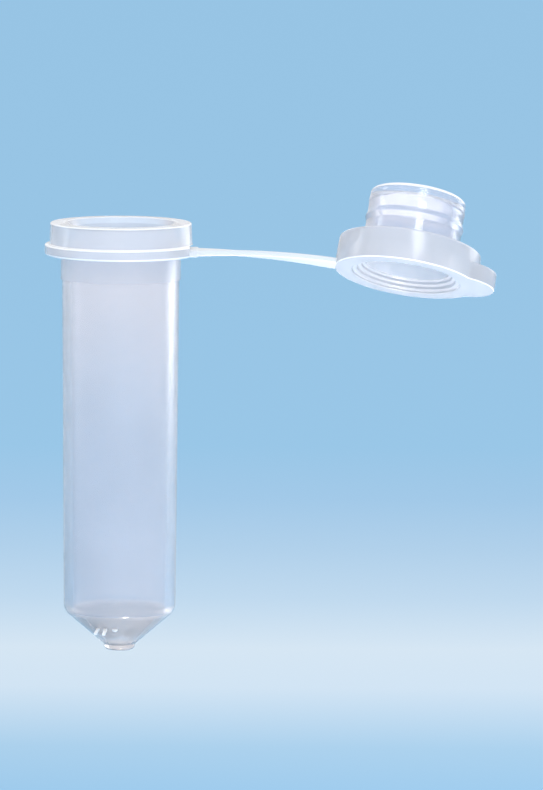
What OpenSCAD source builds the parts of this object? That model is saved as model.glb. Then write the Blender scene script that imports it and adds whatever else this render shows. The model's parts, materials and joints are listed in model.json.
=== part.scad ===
// Microcentrifuge tube with an attached plug cap, drawn with the cap open.
//
// Frame: the origin is on the tube's axis, in the plane of the flange's
// underside, which is where the tube hangs in a rack. +Z runs up the tube and
// out of its mouth. +X runs along the strap towards the open cap.
//
// The strap is one thin flexible web. It is drawn as eight short links, so that
// it can fold over at its bends, and untwist at its two twists, when the cap
// closes. Each link is straight; the joints between them carry the bow.

/* [Barrel] */
// Outer radius of the neck, just below the flange
neck_r = 5.62; // [5:0.01:6.5]
// Length of the neck, from the flange down to the fine step in the wall
neck_len = 2.3; // [1:0.1:4]
// Height of the neck's root, which fills the lower part of the flange's hole
root_h = 0.4; // [0.2:0.05:0.8]
// Outer radius of the barrel at its top
barrel_top_r = 5.60; // [5:0.01:6.5]
// Outer radius of the barrel where the cone begins
barrel_low_r = 5.36; // [4.8:0.01:6]
// Depth of the cone's start below the flange
barrel_depth = 34.2; // [25:0.1:38]
// Inner radius of the barrel where the cone begins
bore_low_r = 4.50; // [4:0.01:5]

/* [Cone] */
// Depth of the cone's end below the flange
cone_depth = 37.5; // [30:0.1:42]
// Wall thickness of the cone, along its axis
cone_wall = 0.95; // [0.6:0.05:1.5]
// Radius of the small gate disc under the cone
gate_r = 1.45; // [0.8:0.05:2.5]
// Height of the gate disc
gate_h = 0.55; // [0.3:0.05:1]
// Height of the raised cavity marks on the cone
mark_h = 0.10; // [0.05:0.01:0.2]

/* [Rim] */
// Radius of the mouth, which seals on the plug
mouth_r = 4.78; // [4.7:0.01:5]
// Width of the lead-in chamfer inside the mouth
mouth_chamfer = 0.50; // [0.2:0.05:0.8]
// Outer radius of the collar at its top
collar_top_r = 6.74; // [6:0.01:7.2]
// Outer radius of the collar at the flange
collar_low_r = 6.82; // [6:0.01:7.2]
// Height of the rim's top above the flange's underside
rim_z = 3.10; // [2:0.05:5]
// Radius of the flange
flange_r = 7.27; // [6.9:0.01:8]
// Thickness of the flange
flange_t = 1.06; // [0.6:0.01:1.6]
// Distance from the axis to the flat where the strap leaves the flange
flange_flat = 6.60; // [6.2:0.05:7]

/* [Strap] */
// Width of the strap
strap_w = 2.50; // [1.5:0.1:4]
// Thickness of the strap
strap_t = 0.50; // [0.35:0.05:0.8]
// Distance from the tube's axis to the strap's first bend, and from the cap's axis to its last
root_x = 7.40; // [7.2:0.05:9]
// Height of the strap's middle plane where it leaves the flange
root_z = 0.27; // [0.25:0.01:0.5]
// Length from the first bend to the first fold
fold_at = 1.20; // [1:0.05:2]
// Length from the first bend to the first twist
twist_at = 2.55; // [1.8:0.05:3.4]
// Length from the first bend to the second
bend_at = 3.74; // [3:0.01:5]
// Length from the first bend to the middle of the strap
mid_at = 6.27; // [5:0.01:8]
// Downward slope added at the first bend, with the cap open
slope_1 = 1.6; // [0:0.1:6]
// Downward slope added at the second bend
slope_2 = 2.4; // [0:0.1:6]
// Downward slope added at the third bend
slope_3 = 2.6; // [0:0.1:6]
// Downward slope added at the last bend
slope_4 = 2.4; // [0:0.1:6]
// Turn of each of the two twists, with the cap open
twist = 10.25; // [0:0.25:15]

/* [Cap] */
// Radius of the cap's head
head_r = 6.88; // [6.2:0.01:7.4]
// Thickness of the cap's head
head_h = 3.10; // [2:0.05:4]
// Depth from the strap's middle plane to the cap's outer face
face_drop = 0.30; // [0.25:0.01:0.8]
// Radius of the recess at the outer face
recess_r = 5.20; // [4.5:0.05:6]
// Radius of the hollow inside the plug
hollow_r = 4.00; // [3:0.05:4.1]
// Radius of the thumb lip's rounded end
lip_r = 3.65; // [2.5:0.05:5]
// Distance from the cap's axis to the centre of the thumb lip's end
lip_x = 4.90; // [4:0.05:7]
// Thickness of the thumb lip
lip_t = 1.70; // [0.8:0.05:2.5]

/* [Plug] */
// Radius of the plug's wall
plug_r = 4.60; // [4.4:0.01:4.62]
// Length of the plug below the head
plug_len = 5.10; // [4.2:0.05:6]
// Radius of the sealing bead round the middle of the plug
bead_r = 4.74; // [4.65:0.01:4.76]
// Distance from the head to the sealing bead
bead_at = 2.25; // [1:0.05:2.5]
// Radius of the softer bead near the plug's end
end_bead_r = 4.66; // [4.65:0.01:4.76]
// Thickness of the floor that closes the plug
floor_t = 0.80; // [0.5:0.05:1.5]

/* [Part shown] */
// Sub-part to draw on its own, or all

/* [Hidden] */
$fn = 96;
frosted = [0.86, 0.89, 0.95, 0.62];
clear = [0.80, 0.88, 0.96, 0.50];
white = [0.93, 0.95, 0.99, 0.85];
gap = 0.03;                       // air between two links of the strap
round_r = strap_t / 2;            // rounded near end of every link that bends
strap_len = 2 * mid_at;
neck_root_r = neck_r + 0.02;      // foot of the neck's root, inside the flange
root_flare = 0.1;                 // how much the neck's root widens upwards
cap_x = root_x;                   // cap's axis, from the strap's last bend
face_z = -face_drop;              // cap's outer face, in the cap's own frame
inner_z = face_z + head_h;        // cap's inner face, which meets the rim
plug_top = inner_z + plug_len;    // end of the plug
cone_r0 = barrel_low_r;
cone_slope = (cone_r0 - gate_r) / (cone_depth - barrel_depth);

// Places along the strap, from its first bend: where each joint is, how much
// slope it adds and how much it twists with the cap open.
joint_s = [0, fold_at, twist_at, bend_at, mid_at, strap_len - bend_at,
           strap_len - twist_at, strap_len - fold_at, strap_len];
joint_slope = [slope_1, 0, 0, slope_2, 0, slope_3, 0, 0, slope_4];
joint_twist = [0, 0, twist, 0, 0, 0, twist, 0, 0];

// ---- shared shapes ----

// A ring turned about Z from a list of [radius, height] corners.
module turned(profile) {
    rotate_extrude() polygon(profile);
}

// Puts its children in the frame of the strap's joint k, X along the strap.
module at_joint(k) {
    if (k == 0)
        translate([root_x, 0, root_z])
            rotate([0, joint_slope[0], 0]) children();
    else
        at_joint(k - 1)
            translate([joint_s[k] - joint_s[k - 1], 0, 0])
                rotate([-joint_twist[k], joint_slope[k], 0]) children();
}

// A link of the strap from joint k to the next. Its near end is rounded where
// it bends and square where it twists. Its far end stops short of the next.
module link(k) {
    twists = joint_twist[k] > 0;
    next_twists = joint_twist[k + 1] > 0;
    near = twists ? gap / 2 : 0;
    far = joint_s[k + 1] - joint_s[k]
        - (next_twists ? gap / 2 : round_r + gap);
    at_joint(k) {
        translate([near, -strap_w / 2, -strap_t / 2])
            cube([far - near, strap_w, strap_t]);
        if (!twists)
            rotate([90, 0, 0])
                cylinder(r = round_r, h = strap_w, center = true);
    }
}

// Puts its children on the cap's axis, Z out through the plug.
module on_cap() {
    at_joint(8) translate([cap_x, 0, 0]) children();
}

// ---- tube ----

// Thick collar round the mouth, with a lead-in chamfer for the plug.
module rim_collar() {
    color(white) turned([
        [mouth_r, flange_t],
        [collar_low_r, flange_t],
        [collar_top_r, rim_z - 0.15],
        [collar_top_r - 0.15, rim_z],
        [mouth_r + mouth_chamfer, rim_z],
        [mouth_r, rim_z - mouth_chamfer]]);
}

// Thin flange that hangs the tube in a rack, cut flat where the strap leaves.
module support_flange() {
    color(frosted) difference() {
        turned([
            [neck_root_r, 0],
            [flange_r, 0],
            [flange_r, flange_t],
            [mouth_r, flange_t],
            [mouth_r, root_h],
            [neck_root_r + root_flare, root_h]]);
        translate([flange_flat, -flange_r, -1])
            cube([flange_r, 2 * flange_r, flange_t + 2]);
    }
}

// Straight neck below the flange, which ends at the fine step in the wall. Its
// root stands a little way up inside the flange.
module barrel_neck() {
    color(frosted) turned([
        [mouth_r, -neck_len],
        [neck_r, -neck_len],
        [neck_r, 0],
        [neck_root_r, 0],
        [neck_root_r + root_flare, root_h],
        [mouth_r, root_h]]);
}

// Long wall, drafted a little narrower towards the bottom inside and out.
module barrel() {
    color(frosted) turned([
        [mouth_r, -neck_len],
        [barrel_top_r, -neck_len],
        [barrel_low_r, -barrel_depth],
        [bore_low_r, -barrel_depth]]);
}

// Clear cone that gathers the sample into a small flat bottom.
module conical_base() {
    inner_end = gate_r - 0.35;
    color(clear) turned([
        [bore_low_r, -barrel_depth],
        [cone_r0, -barrel_depth],
        [gate_r, -cone_depth],
        [0, -cone_depth],
        [0, -cone_depth + cone_wall],
        [inner_end, -cone_depth + cone_wall]]);
}

// Small disc left where the plastic entered the mould.
module gate_disc() {
    color(clear) turned([
        [0, -cone_depth],
        [gate_r, -cone_depth],
        [gate_r, -cone_depth - gate_h + 0.2],
        [gate_r - 0.2, -cone_depth - gate_h],
        [0, -cone_depth - gate_h]]);
}

// Two raised bars and a raised dot on the front of the cone.
module cavity_marks() {
    mid_z = -(barrel_depth + cone_depth) / 2;
    half = (cone_depth - barrel_depth) * 0.24;
    function cone_at(z) = cone_r0 - cone_slope * (-z - barrel_depth);
    color(clear) difference() {
        intersection() {
            turned([
                [0, mid_z + half],
                [cone_at(mid_z + half) + mark_h, mid_z + half],
                [cone_at(mid_z - half) + mark_h, mid_z - half],
                [0, mid_z - half]]);
            union() {
                for (x = [-1.95, -1.25])
                    translate([x, -barrel_low_r, mid_z - half])
                        cube([0.28, barrel_low_r, 2 * half]);
                translate([-0.35, 0, mid_z])
                    rotate([90, 0, 0]) cylinder(r = 0.24, h = barrel_low_r);
            }
        }
        turned([
            [0, mid_z + half + 0.2],
            [cone_at(mid_z + half + 0.2), mid_z + half + 0.2],
            [cone_at(mid_z - half - 0.2), mid_z - half - 0.2],
            [0, mid_z - half - 0.2]]);
    }
}

// Square lug on the flange's flat, where the strap begins.
module strap_anchor() {
    wide = strap_w + 1.2;
    color(white)
        translate([flange_flat, -wide / 2, 0])
            cube([root_x - round_r - gap - flange_flat, wide,
                  root_z + strap_t / 2]);
}

// ---- strap ----

module strap_link_1() { color(white) link(0); }
module strap_link_2() { color(white) link(1); }
module strap_link_3() { color(white) link(2); }
module strap_link_4() { color(white) link(3); }
module strap_link_5() { color(white) link(4); }
module strap_link_6() { color(white) link(5); }
module strap_link_7() { color(white) link(6); }
module strap_link_8() { color(white) link(7); }

// ---- cap ----

// End of the strap, moulded onto the edge of the cap's head.
module cap_anchor() {
    color(white) difference() {
        at_joint(8) {
            translate([0, -strap_w / 2, -strap_t / 2])
                cube([2, strap_w, strap_t]);
            rotate([90, 0, 0])
                cylinder(r = round_r, h = strap_w, center = true);
        }
        on_cap() translate([0, 0, face_z - 1])
            cylinder(r = head_r, h = head_h + 2);
    }
}

// Thick outer ring of the cap, which sits on the rim when the cap is shut.
module cap_head() {
    color(white) on_cap() turned([
        [recess_r, face_z],
        [head_r - 0.1, face_z],
        [head_r, face_z + 0.1],
        [head_r, inner_z - 0.3],
        [head_r - 0.3, inner_z],
        [recess_r, inner_z]]);
}

// Inner ring of the cap, stepped down from the outer face to the hollow plug.
module recess_ring() {
    color(frosted) on_cap() turned([
        [recess_r, face_z + 0.25],
        [recess_r, inner_z],
        [hollow_r, inner_z],
        [hollow_r, face_z + 0.95],
        [hollow_r + 0.35, face_z + 0.95],
        [hollow_r + 0.35, face_z + 0.60],
        [hollow_r + 0.75, face_z + 0.60],
        [hollow_r + 0.75, face_z + 0.25]]);
}

// Lip on the far side of the cap, pushed up with a thumb to open the tube.
module thumb_lip() {
    color(white) on_cap() difference() {
        translate([lip_x, 0, face_z]) cylinder(r = lip_r, h = lip_t);
        translate([0, 0, face_z - 1]) cylinder(r = head_r, h = head_h + 2);
    }
}

// Thin wall of the hollow plug.
module plug_wall() {
    color(frosted) on_cap() turned([
        [hollow_r, inner_z],
        [plug_r, inner_z],
        [plug_r, plug_top - floor_t],
        [hollow_r, plug_top - floor_t]]);
}

// Floor that closes the plug, with a rounded lead-in edge.
module plug_floor() {
    edge = 0.5;
    color(frosted) on_cap() turned(concat(
        [[0, plug_top - floor_t], [plug_r, plug_top - floor_t]],
        [for (a = [0:15:90])
            [plug_r - edge + edge * cos(a), plug_top - edge + edge * sin(a)]],
        [[0, plug_top]]));
}

// Bead round the plug that makes the main seal.
module main_seal_bead() {
    at = inner_z + bead_at;
    color(white) on_cap() turned([
        [plug_r, at - 0.50],
        [bead_r, at - 0.05],
        [bead_r, at + 0.05],
        [plug_r, at + 0.50]]);
}

// Softer bead near the plug's end, which guides it into the mouth.
module end_seal_bead() {
    at = plug_top - floor_t - 0.45;
    color(white) on_cap() turned([
        [plug_r, at - 0.45],
        [end_bead_r, at - 0.10],
        [end_bead_r, at + 0.15],
        [plug_r, at + 0.45]]);
}

rim_collar();
support_flange();
barrel_neck();
barrel();
conical_base();
gate_disc();
cavity_marks();
strap_anchor();
strap_link_1();
strap_link_2();
strap_link_3();
strap_link_4();
strap_link_5();
strap_link_6();
strap_link_7();
strap_link_8();
cap_anchor();
cap_head();
recess_ring();
thumb_lip();
plug_wall();
plug_floor();
main_seal_bead();
end_seal_bead();
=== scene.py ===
import json
import math
import bmesh
import bpy
from mathutils import Matrix, Vector


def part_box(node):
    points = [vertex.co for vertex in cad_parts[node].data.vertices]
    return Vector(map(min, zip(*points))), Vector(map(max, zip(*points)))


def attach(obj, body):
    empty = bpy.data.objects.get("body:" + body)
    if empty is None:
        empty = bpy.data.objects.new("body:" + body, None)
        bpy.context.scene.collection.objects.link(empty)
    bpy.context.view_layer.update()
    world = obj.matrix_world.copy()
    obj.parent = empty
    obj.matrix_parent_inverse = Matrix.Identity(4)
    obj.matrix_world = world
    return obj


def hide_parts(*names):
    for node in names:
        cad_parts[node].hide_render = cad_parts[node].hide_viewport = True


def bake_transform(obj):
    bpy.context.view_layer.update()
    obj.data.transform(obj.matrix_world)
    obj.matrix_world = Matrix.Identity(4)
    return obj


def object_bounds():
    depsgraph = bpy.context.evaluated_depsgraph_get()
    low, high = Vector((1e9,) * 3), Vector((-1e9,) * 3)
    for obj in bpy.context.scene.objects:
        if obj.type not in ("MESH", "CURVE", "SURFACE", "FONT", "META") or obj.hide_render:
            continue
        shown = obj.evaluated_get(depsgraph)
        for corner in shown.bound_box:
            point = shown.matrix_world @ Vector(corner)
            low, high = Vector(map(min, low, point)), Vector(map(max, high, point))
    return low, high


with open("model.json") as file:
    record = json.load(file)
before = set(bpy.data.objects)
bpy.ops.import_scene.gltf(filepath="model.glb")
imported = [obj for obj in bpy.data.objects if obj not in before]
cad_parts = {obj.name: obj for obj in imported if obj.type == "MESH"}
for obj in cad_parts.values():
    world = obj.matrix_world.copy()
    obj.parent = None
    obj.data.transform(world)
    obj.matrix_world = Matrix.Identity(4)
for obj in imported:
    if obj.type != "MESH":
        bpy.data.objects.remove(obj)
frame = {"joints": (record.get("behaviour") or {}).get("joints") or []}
cad_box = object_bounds()
mm = 0.001

# ---------------------------------------------------------------- camera ----
# A long lens a little above the tube, aimed between the barrel and the cap,
# and turned very slightly in its mount.
lens = 305.0
camera_distance = 640 * mm
camera_rise = math.radians(7.0)
camera_roll = math.radians(0.36)
camera_aim = Vector((14.45, 0.0, -13.4)) * mm
cap_aim = Vector((27.0, 0.0, 0.0)) * mm

camera_data = bpy.data.cameras.new("studio camera")
camera_data.lens = lens
camera_data.sensor_width = 36.0
camera_data.clip_start = 0.05
camera_data.clip_end = 20.0
camera = bpy.data.objects.new("studio camera", camera_data)
bpy.context.scene.collection.objects.link(camera)
towards_camera = Vector((0, -math.cos(camera_rise), math.sin(camera_rise)))
camera.location = camera_aim + towards_camera * camera_distance
camera.rotation_euler = (math.pi / 2 - camera_rise, 0, 0)
camera.rotation_euler.rotate_axis("Z", camera_roll)
bpy.context.scene.camera = camera

# ------------------------------------------------------- floor and lights ----
# A wide studio floor in pale blue paint, with a paler band behind the tube
# that is a painted pool of light, under an even white sky. Five soft lamps stand round the tube and above
# it.
# A small gridded one under the cap lights mostly the cap and the strap's end.
floor_drop = 150 * mm
floor_size = 7.0
painted_light_band_start = 0.74
painted_light_band_end = 1.30
# Floor blues along the depth: the paler stops in the middle are a painted pool of light behind the tube.
floor_blues_with_painted_light_band = (
    (0.00, (0.315, 0.545, 0.770)),
    (0.10, (0.385, 0.595, 0.790)),
    (0.24, (0.615, 0.745, 0.870)),
    (0.34, (0.655, 0.775, 0.885)),
    (0.48, (0.530, 0.700, 0.865)),
    (0.63, (0.450, 0.650, 0.850)),
    (0.80, (0.378, 0.610, 0.845)),
    (1.00, (0.338, 0.600, 0.845)))

floor_shape = bmesh.new()
bmesh.ops.create_grid(floor_shape, x_segments=8, y_segments=8, size=floor_size / 2)
bmesh.ops.translate(floor_shape, vec=(0, 0, cad_box[0].z - floor_drop), verts=floor_shape.verts)
floor_mesh = bpy.data.meshes.new("studio floor")
floor_shape.to_mesh(floor_mesh)
floor_shape.free()
floor = bpy.data.objects.new("studio floor", floor_mesh)
bpy.context.scene.collection.objects.link(floor)

paint = bpy.data.materials.new("pale blue floor with painted light band")
paint.use_nodes = True
nodes, links = paint.node_tree.nodes, paint.node_tree.links
shader = nodes["Principled BSDF"]
shader.inputs["Roughness"].default_value = 1.0
shader.inputs["Specular IOR Level"].default_value = 0.0
place = nodes.new("ShaderNodeTexCoord")
parts = nodes.new("ShaderNodeSeparateXYZ")
band = nodes.new("ShaderNodeMapRange")
band.inputs["From Min"].default_value = painted_light_band_start
band.inputs["From Max"].default_value = painted_light_band_end
tint = nodes.new("ShaderNodeValToRGB")
while len(tint.color_ramp.elements) < len(floor_blues_with_painted_light_band):
    tint.color_ramp.elements.new(0.5)
for stop, (position, blue) in zip(tint.color_ramp.elements, floor_blues_with_painted_light_band):
    stop.position = position
    stop.color = (*blue, 1)
links.new(place.outputs["Object"], parts.inputs["Vector"])
links.new(parts.outputs["Y"], band.inputs["Value"])
links.new(band.outputs["Result"], tint.inputs["Fac"])
links.new(tint.outputs["Color"], shader.inputs["Base Color"])
floor_mesh.materials.append(paint)

world = bpy.data.worlds.new("white studio")
world.use_nodes = True
world.node_tree.nodes["Background"].inputs["Color"].default_value = (1.0, 1.0, 1.0, 1)
world.node_tree.nodes["Background"].inputs["Strength"].default_value = 0.92
bpy.context.scene.world = world
bpy.context.scene.view_settings.view_transform = "Standard"


def soft_light(name, azimuth, rise, distance, width, height, power, aim=camera_aim, spread=180,
               colour=(1, 1, 1)):
    """A rectangular soft lamp that faces the aim. A small spread works like a honeycomb grid."""
    lamp_data = bpy.data.lights.new(name, "AREA")
    lamp_data.shape = "RECTANGLE"
    lamp_data.size = width
    lamp_data.size_y = height
    lamp_data.energy = power
    lamp_data.color = colour
    lamp_data.spread = math.radians(spread)
    lamp = bpy.data.objects.new(name, lamp_data)
    lamp.visible_camera = False
    bpy.context.scene.collection.objects.link(lamp)
    around, up = math.radians(azimuth), math.radians(rise)
    outward = Vector((math.sin(around) * math.cos(up), -math.cos(around) * math.cos(up), math.sin(up)))
    lamp.location = aim + outward * distance
    lamp.rotation_euler = (-outward).to_track_quat("-Z", "Y").to_euler()


soft_light("key softbox", 20, 42, 0.7, 0.20, 0.34, 1.8)
soft_light("right softbox", 132, 15, 0.8, 0.5, 0.5, 1.9)
soft_light("left softbox", -100, 15, 0.9, 0.2, 0.5, 0.8)
soft_light("top softbox", 10, 78, 0.7, 0.4, 0.4, 0.35)
soft_light("front softbox", -12, 20, 0.9, 0.8, 0.5, 0.9)
soft_light("gridded cap light", 0, -70, 0.15, 0.04, 0.03, 0.011, cap_aim, 30, (1.0, 0.86, 0.76))

# ------------------------------------------------------------- the moulding --
# Tube: one thin-walled turned shape in natural polypropylene, moulded in one
# shot with the strap and the cap. Frosted walls, milky where the plastic is
# thick at the rim, and nearly clear on the polished cone.
rim_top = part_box("rim_collar")[1].z / mm
flange_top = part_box("support_flange")[1].z / mm
flange_radius = -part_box("support_flange")[0].x / mm
flange_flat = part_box("support_flange")[1].x / mm
collar_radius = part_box("rim_collar")[1].x / mm
neck_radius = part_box("barrel_neck")[1].x / mm
neck_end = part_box("barrel_neck")[0].z / mm
barrel_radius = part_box("barrel")[1].x / mm
cone_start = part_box("barrel")[0].z / mm
cone_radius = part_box("conical_base")[1].x / mm
cone_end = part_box("conical_base")[0].z / mm
gate_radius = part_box("gate_disc")[1].x / mm
gate_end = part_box("gate_disc")[0].z / mm
mouth_radius = 4.78
mouth_lead_in = 0.50
bore_low_radius = 4.50
cone_wall = 0.95
floor_of_cone = cone_end + cone_wall
collar_draft = 0.08
shoulder_rounding = 1.4
highlight_tilt = (0.2, 0.97)
highlight_inset = 0.4


def rounded(corners, segments=5):
    """Points of an outline from [radius, height, rounding] corners, each rounded by an arc."""
    points = []
    for at, (x, y, rounding) in enumerate(corners):
        here = Vector((x, y))
        if rounding == 0 or at in (0, len(corners) - 1):
            points.append(here)
            continue
        back = (Vector(corners[at - 1][:2]) - here).normalized()
        ahead = (Vector(corners[at + 1][:2]) - here).normalized()
        half = back.angle(ahead) / 2
        run = rounding / math.tan(half)
        centre = here + (back + ahead).normalized() * rounding / math.sin(half)
        first = here + back * run - centre
        turn = first.angle_signed(here + ahead * run - centre)
        for step in range(segments + 1):
            swept = first.copy()
            swept.rotate(Matrix.Rotation(-turn * step / segments, 2))
            points.append(centre + swept)
    return points


def turned(outline, steps):
    """A bmesh in millimetres, turned about Z from an outline of radius and height."""
    shape = bmesh.new()
    ring = [shape.verts.new((point.x, 0, point.y)) for point in outline]
    for low, high in zip(ring, ring[1:]):
        shape.edges.new((low, high))
    bmesh.ops.spin(shape, geom=shape.verts[:] + shape.edges[:], cent=(0, 0, 0), axis=(0, 0, 1),
                   dvec=(0, 0, 0), angle=2 * math.pi, steps=steps, use_merge=True)
    bmesh.ops.remove_doubles(shape, verts=shape.verts, dist=0.0005)
    bmesh.ops.recalc_face_normals(shape, faces=shape.faces)
    return shape


def finished(shape, name, materials, place=Matrix.Identity(4), smooth=35):
    """Scales a bmesh to metres, puts it in place and makes it an object."""
    shape.transform(Matrix.Scale(mm, 4) @ place)
    for edge in shape.edges:
        edge.smooth = edge.calc_face_angle(0) < math.radians(smooth)
    for face in shape.faces:
        face.smooth = True
    mesh = bpy.data.meshes.new(name)
    shape.to_mesh(mesh)
    shape.free()
    for material in materials:
        mesh.materials.append(material)
    piece = bpy.data.objects.new(name, mesh)
    bpy.context.scene.collection.objects.link(piece)
    return piece


def polypropylene(name, colour, see_through, roughness, grain, bump):
    """Natural polypropylene: partly see-through, with a fine moulded grain."""
    cloud_scale = 160
    cloud_shade = 0.96
    gloss_spread = 0.15
    relief_depth = 0.00002
    plastic = bpy.data.materials.new(name)
    plastic.use_nodes = True
    nodes, links = plastic.node_tree.nodes, plastic.node_tree.links
    shader = nodes["Principled BSDF"]
    shader.inputs["IOR"].default_value = 1.49
    shader.inputs["Transmission Weight"].default_value = see_through
    place = nodes.new("ShaderNodeTexCoord")
    cloud = nodes.new("ShaderNodeTexNoise")
    cloud.inputs["Scale"].default_value = cloud_scale
    cloud.inputs["Detail"].default_value = 3
    tint = nodes.new("ShaderNodeValToRGB")
    tint.color_ramp.elements[0].position = 0.3
    tint.color_ramp.elements[0].color = (*[part * cloud_shade for part in colour], 1)
    tint.color_ramp.elements[1].position = 0.7
    tint.color_ramp.elements[1].color = (*colour, 1)
    gloss = nodes.new("ShaderNodeMapRange")
    gloss.inputs["To Min"].default_value = roughness * (1 - gloss_spread)
    gloss.inputs["To Max"].default_value = roughness * (1 + gloss_spread)
    fine = nodes.new("ShaderNodeTexNoise")
    fine.inputs["Scale"].default_value = grain
    fine.inputs["Detail"].default_value = 2
    relief = nodes.new("ShaderNodeBump")
    relief.inputs["Strength"].default_value = bump
    relief.inputs["Distance"].default_value = relief_depth
    links.new(place.outputs["Object"], cloud.inputs["Vector"])
    links.new(place.outputs["Object"], fine.inputs["Vector"])
    links.new(cloud.outputs["Fac"], tint.inputs["Fac"])
    links.new(tint.outputs["Color"], shader.inputs["Base Color"])
    links.new(cloud.outputs["Fac"], gloss.inputs["Value"])
    links.new(gloss.outputs["Result"], shader.inputs["Roughness"])
    links.new(fine.outputs["Fac"], relief.inputs["Height"])
    links.new(relief.outputs["Normal"], shader.inputs["Normal"])
    return plastic


frosted_wall = polypropylene("frosted wall plastic", (0.965, 0.953, 0.995), 0.84, 0.17, 4000, 0.12)
milky_rim = polypropylene("milky rim plastic", (0.92, 0.925, 0.975), 0.64, 0.20, 4000, 0.08)
clear_cone = polypropylene("clear cone plastic", (0.86, 0.80, 0.79), 0.68, 0.10, 3000, 0.04)
# A whiter, less see-through copy of the plastic: painted highlight lines on rounded edges, and painted
# light in the cap's hollow.
painted_light_plastic = polypropylene("white plastic with painted highlights and light", (0.97, 0.97, 1.0), 0.25, 0.20, 4000, 0.05)

tube_outline = rounded([
    (0, gate_end, 0),
    (gate_radius, gate_end, 0.42),
    (gate_radius + 0.06, cone_end, 0.08),
    (cone_radius, cone_start, shoulder_rounding),
    (barrel_radius, neck_end, 0.01),
    (neck_radius, neck_end, 0.01),
    (neck_radius, 0, 0.12),
    (flange_radius, 0, 0.30),
    (flange_radius, flange_top, 0.20),
    (collar_radius, flange_top, 0.06),
    (collar_radius - collar_draft, rim_top, 0.18),
    (mouth_radius + mouth_lead_in, rim_top, 0.12),
    (mouth_radius, rim_top - mouth_lead_in, 0.15),
    (mouth_radius, neck_end, 0.02),
    (bore_low_radius, cone_start, 0.7),
    (gate_radius - 0.35, floor_of_cone, 0.3),
    (0, floor_of_cone, 0)])
tube_shape = turned(tube_outline, 128)
for vert in tube_shape.verts:
    if -0.001 <= vert.co.z <= flange_top + 0.001 and vert.co.x > flange_flat:
        vert.co.x = flange_flat
# The flange's top and bottom and the tilted rounded edges of the rim get the whiter plastic as painted
# highlight lines; the rest of the rim stays milky.
for face in tube_shape.faces:
    middle = face.calc_center_median()
    tilt = abs(face.normal.z)
    if middle.z < cone_start + 0.02:
        face.material_index = 2
    elif middle.z > -0.02:
        outside = middle.xy.length > mouth_radius + highlight_inset
        on_flange = tilt > highlight_tilt[0] and middle.z < flange_top + 0.1
        on_highlight_edge = highlight_tilt[0] < tilt < highlight_tilt[1]
        face.material_index = 3 if outside and (on_flange or on_highlight_edge) else 1
tube = finished(tube_shape, "tube_moulding", [frosted_wall, milky_rim, clear_cone, painted_light_plastic])
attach(tube, "tube")
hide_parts("rim_collar", "support_flange", "barrel_neck", "barrel", "conical_base", "gate_disc")

# ---------------------------------------------------------- cavity marks ----
# Two short raised bars and a dot on the front of the cone. The mould maker
# cuts them into the cavity so that each tube shows where it was made.
bar_size = Vector((0.30, 0.20, 1.50))
bar_places = (-1.95, -1.25)
dot_place = -0.35
dot_radius = 0.26
mark_rounding = 0.04
cone_slope = math.atan2(cone_radius - gate_radius, cone_start - cone_end)
marks_height = (cone_start + cone_end) / 2 + 0.25

marks_shape = bmesh.new()
for across in (*bar_places, dot_place):
    radius = cone_radius - (cone_start - marks_height) * math.tan(cone_slope)
    around = math.asin(across / radius)
    on_cone = (Matrix.Rotation(around, 4, "Z") @ Matrix.Translation((0, -radius, marks_height))
               @ Matrix.Rotation(-cone_slope, 4, "X"))
    if across == dot_place:
        bmesh.ops.create_cone(marks_shape, cap_ends=True, segments=24, radius1=dot_radius,
                              radius2=dot_radius, depth=bar_size.y,
                              matrix=on_cone @ Matrix.Rotation(math.pi / 2, 4, "X"))
    else:
        bmesh.ops.create_cube(marks_shape, size=1, matrix=on_cone @ Matrix.Diagonal((*bar_size, 1)))
bmesh.ops.bevel(marks_shape, geom=marks_shape.edges[:], offset=mark_rounding, offset_type="OFFSET",
                segments=2, affect="EDGES", profile=0.5, material=-1)
mark_white = polypropylene("raised mark plastic", (0.95, 0.95, 0.97), 0.10, 0.30, 4000, 0.05)
marks = finished(marks_shape, "cavity_marks_raised", [mark_white])
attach(marks, "tube")
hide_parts("cavity_marks")

# -------------------------------------------------------------- root lug ----
# Thick square lug on the flat of the flange, where the strap is fed with
# plastic. It is part of the same moulding, with softly rounded corners.
lug_low, lug_high = (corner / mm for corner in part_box("strap_anchor"))
lug_inside = 0.35
lug_overhang = 0.28
lug_height = 0.66
lug_lift = 0.03
lug_rounding = 0.16
lug_length = lug_high.x + lug_overhang - (lug_low.x - lug_inside)
strap_white = polypropylene("satin strap plastic", (0.72, 0.76, 0.81), 0.15, 0.30, 5000, 0.10)

lug_shape = bmesh.new()
lug_middle = Vector((lug_low.x - lug_inside + lug_length / 2, 0, (lug_low.z + lug_high.z) / 2 + lug_lift))
bmesh.ops.create_cube(lug_shape, size=1, matrix=Matrix.Translation(lug_middle)
                      @ Matrix.Diagonal((lug_length, lug_high.y - lug_low.y, lug_height, 1)))
bmesh.ops.bevel(lug_shape, geom=lug_shape.edges[:], offset=lug_rounding, offset_type="OFFSET", segments=4,
                affect="EDGES", profile=0.5, material=-1)
lug = finished(lug_shape, "strap_root_lug", [strap_white])
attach(lug, "tube")
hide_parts("strap_anchor")

# ----------------------------------------------------------------- strap ----
# Thin flexible strap of the same plastic. With the cap open it bows down a
# little and twists, and it folds over at its joints when the cap is closed.
# It is made in nine lengths, one across each joint, that meet inside a link.
joints = frame["joints"]
joint_places = [Vector(joint["pos_m"]) / mm for joint in joints]
cap_side = -Vector(joints[-1]["axis"]).normalized()
strap_length = 12.54
strap_width = 2.50
root_thickness = 0.64
cap_thickness = 0.54
strap_slope = math.radians(9.0)
length_ends = (-0.40, 0.60, 1.875, 3.145, 5.005, 7.535, 9.395, 10.665, 11.94, 13.15)
strap_rounding = 0.24
root_taper = 1.2
taper_share = 0.45
path_slices = 400
tube_side = Vector((0, 1, 0))


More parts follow.
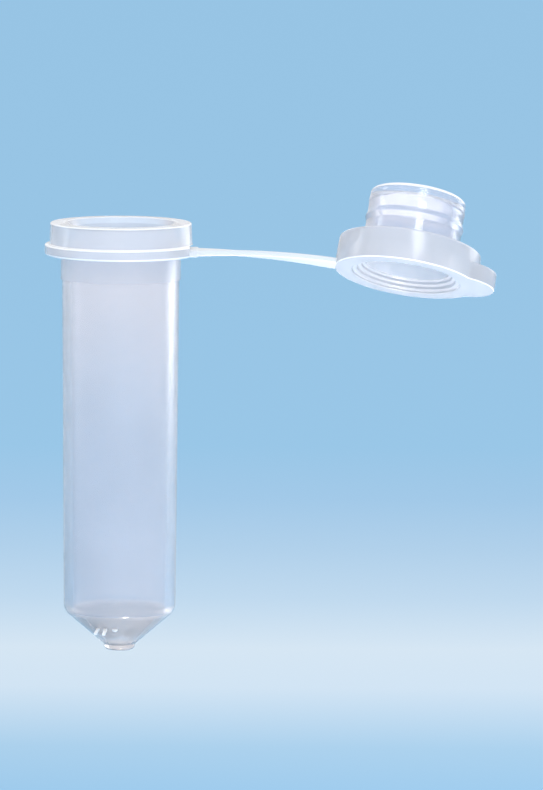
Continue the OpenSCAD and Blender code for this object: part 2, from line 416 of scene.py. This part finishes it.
def strap_middle(along):
    """Middle of the strap at a length along it, on one smooth bow through its ends."""
    point = joint_places[0].copy()
    step = along / path_slices
    for part in range(path_slices):
        slope = strap_slope * max(0, (part + 0.5) * step) / strap_length
        point += Vector((math.cos(slope), 0, -math.sin(slope))) * step
    return point


bow_error = joint_places[-1] - strap_middle(strap_length)


def on_strap(along, across, up):
    """A point of the strap from its length, width and height, on the bowed and twisted line."""
    share = along / strap_length
    middle = strap_middle(along) + bow_error * share
    forward = (strap_middle(along + 0.01) - strap_middle(along - 0.01)).normalized()
    forward = (forward + bow_error / strap_length).normalized()
    side = tube_side.lerp(cap_side, min(max(share, 0), 1))
    side = (side - forward * side.dot(forward)).normalized()
    return middle + side * across + forward.cross(side) * up


for number, (start_at, end_at) in enumerate(zip(length_ends, length_ends[1:]), 1):
    piece_length = end_at - start_at
    strap_shape = bmesh.new()
    bmesh.ops.create_cube(strap_shape, size=1, matrix=Matrix.Diagonal((piece_length, strap_width, 1, 1)))
    long_edges = [edge for edge in strap_shape.edges if abs(edge.verts[0].co.x - edge.verts[1].co.x) > 0.1]
    bmesh.ops.bevel(strap_shape, geom=long_edges, offset=strap_rounding, offset_type="OFFSET", segments=4,
                    affect="EDGES", profile=0.5, material=-1)
    long_edges = [edge for edge in strap_shape.edges if abs(edge.verts[0].co.x - edge.verts[1].co.x) > 0.1]
    bmesh.ops.subdivide_edges(strap_shape, edges=long_edges, cuts=15, use_grid_fill=True)
    for vert in strap_shape.verts:
        along = start_at + vert.co.x + piece_length / 2
        share = min(max(along / strap_length, 0), 1)
        thinning = 1 - math.exp(-max(along, 0) / root_taper)
        change = taper_share * thinning + (1 - taper_share) * share
        thick = root_thickness + (cap_thickness - root_thickness) * change
        vert.co = on_strap(along, vert.co.y, vert.co.z * thick)
    strap_piece = finished(strap_shape, f"strap_length_{number}", [strap_white], smooth=60)
    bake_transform(strap_piece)
    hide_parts(f"strap_link_{number}" if number < len(joints) else "cap_anchor")

# ------------------------------------------------------------------- cap ----
# Hollow plug cap in the same moulding. Its thick round head carries a stepped
# recess and a thumb lip, and its thin plug has a sealing bead round its middle,
# a softer one near the end, and a rounded closed end.
head_radius = 6.88
face_height = -0.30
inner_height = 2.80
plug_end = 7.90
plug_radius = 4.60
bead_radius = 4.74
bead_height = inner_height + 2.25
end_bead_radius = 4.66
plug_floor = 0.80
hollow_radius = 4.00
lip_height = face_height + 1.70
lip_edge = 0.14
lip_offset = 4.90
lip_radius = 3.65
slope_at_cap = math.radians(2.4)
hinge_to_middle = 7.40
step_depth = 0.35
face_edge_width = 0.30
cap_highlight_tilt = (0.3, 0.97)
last_link = (joint_places[-1] - joint_places[-2]).normalized()
cap_forward = Matrix.Rotation(slope_at_cap, 3, cap_side) @ last_link
cap_up = cap_forward.cross(cap_side).normalized()
cap_middle = joint_places[-1] + cap_forward * hinge_to_middle
cap_place = Matrix.Translation(cap_middle) @ Matrix((cap_forward, cap_side, cap_up)).transposed().to_4x4()

milky_cap = polypropylene("milky cap plastic", (0.77, 0.79, 0.85), 0.54, 0.20, 4000, 0.08)
frosted_plug = polypropylene("frosted plug plastic", (0.84, 0.87, 0.96), 0.74, 0.14, 4000, 0.08)

cap_outline = rounded([
    (0, plug_end - plug_floor, 0),
    (hollow_radius, plug_end - plug_floor, 0.45),
    (hollow_radius, inner_height, 0),
    (hollow_radius, face_height + 0.60 + step_depth, 0.14),
    (hollow_radius + 0.35, face_height + 0.60 + step_depth, 0.10),
    (hollow_radius + 0.35, face_height + 0.60, 0.14),
    (hollow_radius + 0.75, face_height + 0.60, 0.10),
    (hollow_radius + 0.75, face_height + 0.25, 0.12),
    (hollow_radius + 1.20, face_height + 0.25, 0.10),
    (hollow_radius + 1.20, face_height, 0.12),
    (head_radius, face_height, lip_edge),
    (head_radius, lip_height, 0.15),
    (head_radius - 0.16, lip_height, 0),
    (head_radius, lip_height + 0.012, 0),
    (head_radius - 0.05, inner_height, 0.25),
    (plug_radius + 0.02, inner_height, 0.08),
    (plug_radius, bead_height - 0.50, 0.05),
    (bead_radius, bead_height, 0.08),
    (plug_radius, bead_height + 0.50, 0.05),
    (plug_radius, plug_end - plug_floor - 0.95, 0.05),
    (end_bead_radius, plug_end - plug_floor - 0.45, 0.20),
    (plug_radius, plug_end - plug_floor, 0.05),
    (plug_radius, plug_end, 0.50),
    (0, plug_end, 0)])
cap_shape = turned(cap_outline, 160)
for vert in cap_shape.verts:
    radius = math.hypot(vert.co.x, vert.co.y)
    if radius < head_radius - lip_edge - 0.1 or vert.co.z > lip_height + 0.006:
        continue
    around = math.atan2(vert.co.y, vert.co.x)
    reach = lip_radius ** 2 - (lip_offset * math.sin(around)) ** 2
    edge = lip_offset * math.cos(around) + math.sqrt(reach) if reach > 0 and vert.co.x > 0 else 0
    grown = radius + max(edge - head_radius, 0)
    if vert.co.z > face_height + lip_edge + 0.01:
        grown = max(grown, head_radius)
    vert.co.xy *= grown / radius
# Rounded edges at the head's face and at the plug's end get the whiter plastic as painted highlight lines.
# The hollow's wall inside the head and its floor get it too, as painted light shining through the hollow.
# The rest of the plug takes the frosted plug plastic.
for face in cap_shape.faces:
    middle = face.calc_center_median()
    tilt = abs(face.normal.z)
    tilted = cap_highlight_tilt[0] < tilt < cap_highlight_tilt[1]
    face_edge = middle.z < face_height + lip_edge and middle.xy.length > head_radius - face_edge_width
    in_hollow = middle.xy.length < hollow_radius + 0.01 and middle.z < plug_end - plug_floor + 0.01
    painted_light_in_hollow = in_hollow and (middle.z < inner_height or tilt > cap_highlight_tilt[0])
    if painted_light_in_hollow or (tilted and (face_edge or middle.z > plug_end - 0.3)):
        face.material_index = 2
    elif middle.z > inner_height + 0.1:
        face.material_index = 1
cap = finished(cap_shape, "cap_moulding", [milky_cap, frosted_plug, painted_light_plastic], cap_place)
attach(cap, "cap")
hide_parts("cap_head", "recess_ring", "thumb_lip", "plug_wall", "plug_floor", "main_seal_bead",
            "end_seal_bead")
